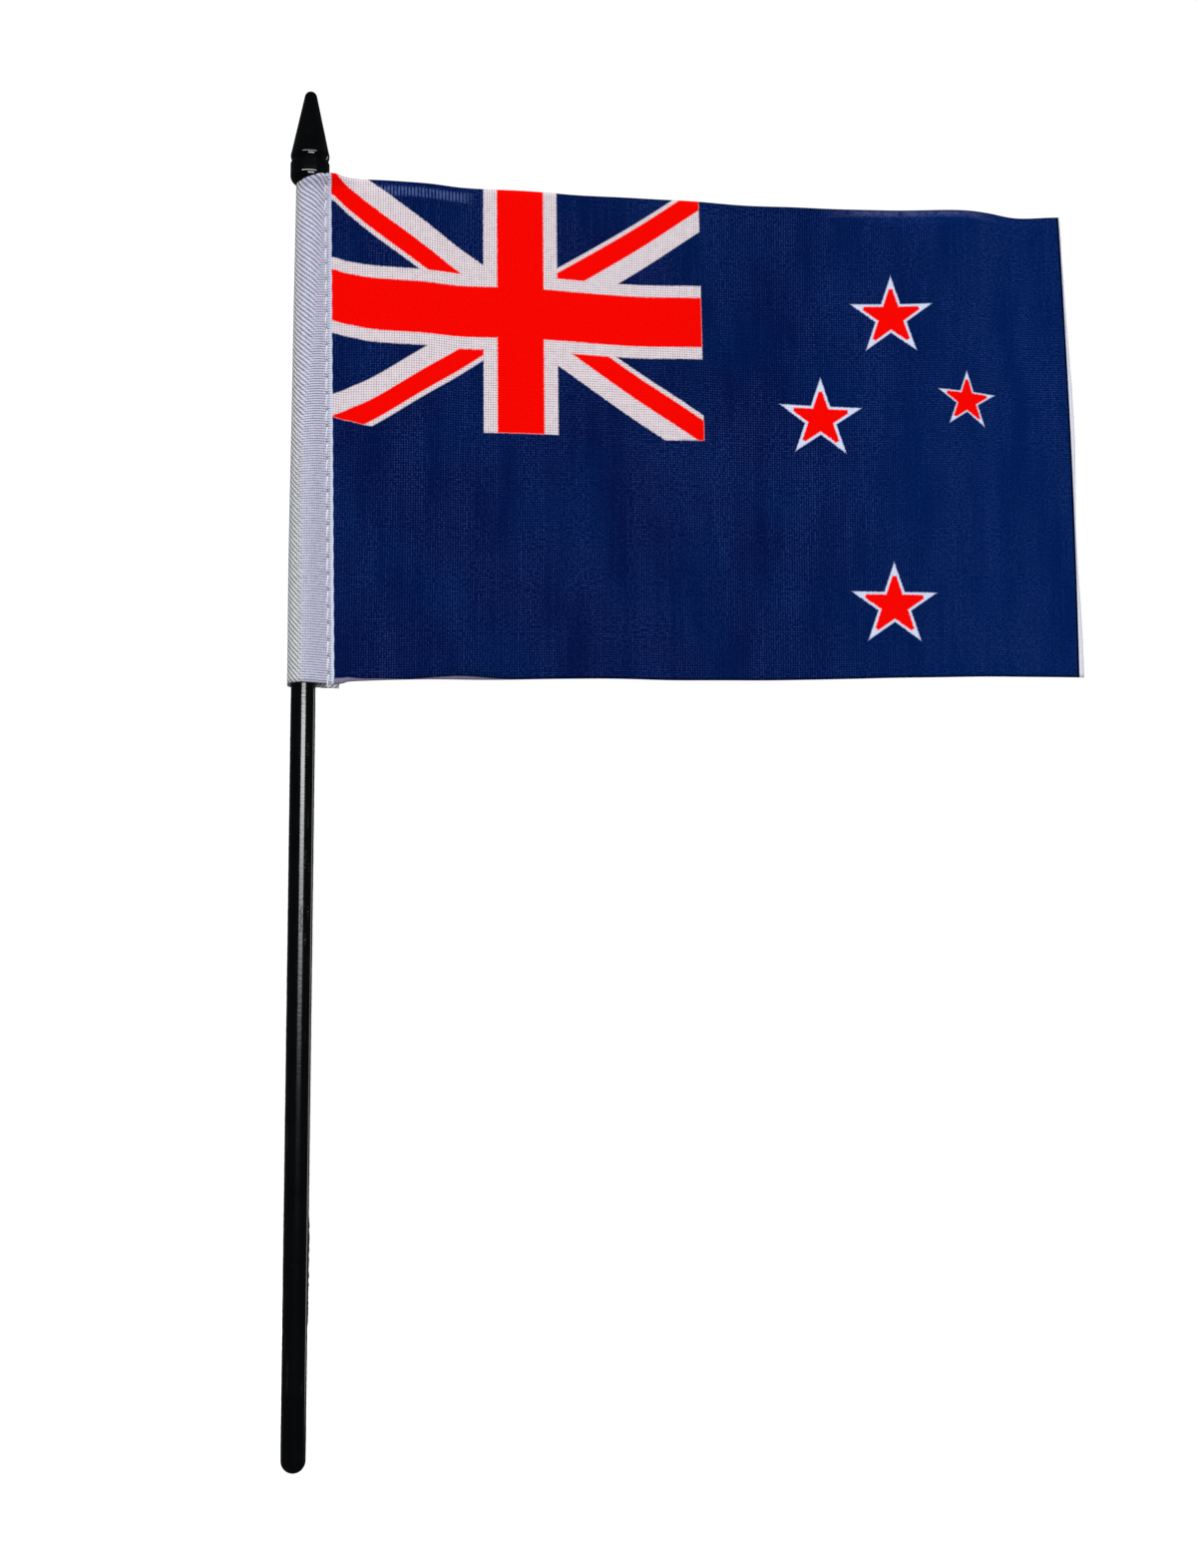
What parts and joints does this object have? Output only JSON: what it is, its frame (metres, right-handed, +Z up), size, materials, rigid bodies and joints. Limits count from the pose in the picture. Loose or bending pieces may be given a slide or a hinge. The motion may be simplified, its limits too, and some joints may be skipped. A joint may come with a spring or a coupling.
{
  "type": "hand flag on a staff",
  "caption": "Small printed cloth flag on a black plastic staff with a spear finial, held by a sewn pole sleeve, for a hand or a desk base.",
  "frame": {"origin": "on the staff's axis, where its round foot meets the straight stretch that a base's socket takes", "axes": "+Z up the staff to the finial, +X from the staff to the fly edge of the flag, -Y the printed side"},
  "size_m": [0.1645, 0.0078, 0.2717],
  "materials": {
    "black_plastic": "gloss",
    "white_cloth": "woven",
    "printed_cloth": "woven",
    "thread": "twisted thread"
  },
  "bodies": {
    "staff": {"staff": "black_plastic"},
    "finial": {"finial": "black_plastic"},
    "sleeve": {"pole_sleeve": "white_cloth"},
    "flag": {"flag_panel": "printed_cloth", "seam_allowance": "white_cloth", "sleeve_stitching": "thread"}
  },
  "joints": [
    {"name": "finial_pull_off", "type": "slide", "parent": "staff", "child": "finial", "axis": [0, 0, 1], "range_m": [0, 0.012]},
    {"name": "sleeve_slide", "type": "slide", "parent": "staff", "child": "sleeve", "axis": [0, 0, 1], "range_m": [-0.118, 0]},
    {"name": "flag_turn", "type": "hinge", "parent": "sleeve", "child": "flag", "pos_m": [0, 0, 0.2], "axis": [0, 0, 1], "continuous": true}
  ]
}
